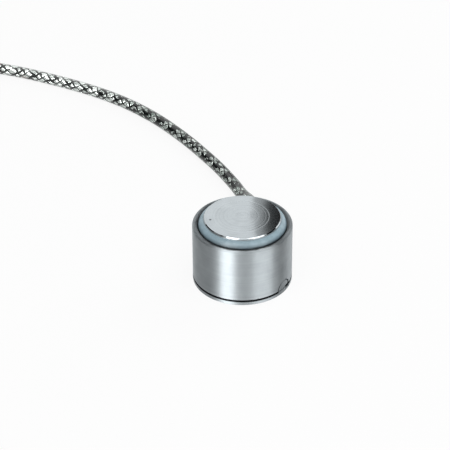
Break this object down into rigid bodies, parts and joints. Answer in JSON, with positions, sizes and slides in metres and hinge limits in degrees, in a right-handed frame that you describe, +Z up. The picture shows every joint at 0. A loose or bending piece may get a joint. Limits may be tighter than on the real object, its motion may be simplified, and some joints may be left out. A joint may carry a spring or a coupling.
{
  "type": "compression load cell",
  "caption": "Small stainless button load cell: a crowned load button in a round casing with a soft seal, and a braided screened cable with bare wire ends.",
  "frame": {"origin": "centre of the base's underside, on the surface that the cell stands on", "axes": "+Z up along the load axis, -Y to the front, where the key in the casing's notch is seen, and the cable leaves at the back, towards +Y"},
  "size_m": [0.1141, 0.0962, 0.0148],
  "materials": {
    "turned_steel": "stainless steel, finely face-turned on the button and satin on the flange",
    "casing_steel": "stainless steel tube, finely turned round its axis",
    "seam_sealant": "dark cured epoxy, recessed in the seam",
    "seal_rubber": "blue-grey silicone, slightly glossy and uneven",
    "gauge_film": "amber polyimide film with a metal foil grid",
    "enamelled_wire": "enamelled copper wire",
    "board": "green glass-epoxy board",
    "resistor": "chip resistor",
    "solder": "bright solder and tinned copper",
    "wire_red": "red fluoropolymer insulation",
    "wire_black": "black fluoropolymer insulation",
    "wire_green": "green fluoropolymer insulation",
    "wire_white": "white fluoropolymer insulation",
    "brass_ferrule": "plain brass ferrule",
    "cable_braid": "tinned copper braid under a clear glossy jacket",
    "black_rubber": "black rubber, matt",
    "tie_plastic": "black nylon",
    "heat_shrink": "black heat-shrink tube",
    "pigtail_braid": "tinned copper braid, twisted"
  },
  "bodies": {
    "root": {"spring_element": "turned_steel", "casing": "casing_steel", "seam_sealant": "seam_sealant", "seal_washer": "turned_steel", "top_seal": "seal_rubber", "strain_gauge_right": "gauge_film", "strain_gauge_rear": "gauge_film", "strain_gauge_left": "gauge_film", "strain_gauge_front": "gauge_film", "gauge_wires_right": "enamelled_wire", "gauge_wires_rear": "enamelled_wire", "gauge_wires_left": "enamelled_wire", "gauge_wires_front": "enamelled_wire", "bridge_board": "board", "zero_resistor": "resistor", "span_resistor": "resistor", "temperature_resistor": "resistor", "solder_joints": "solder", "wire_red": "wire_red", "wire_black": "wire_black", "wire_green": "wire_green", "wire_white": "wire_white", "crimp_ferrule": "brass_ferrule", "cable_inner_end": "cable_braid", "entry_tube": "casing_steel", "strain_relief": "black_rubber", "cable": "cable_braid", "cable_coil": "cable_braid", "coil_tie_right": "tie_plastic", "coil_tie_front": "tie_plastic", "end_sleeve": "heat_shrink", "tail_red": "wire_red", "tail_black": "wire_black", "tail_green": "wire_green", "tail_white": "wire_white", "screen_pigtail": "pigtail_braid", "tinned_tips": "solder"}
  },
  "joints": []
}
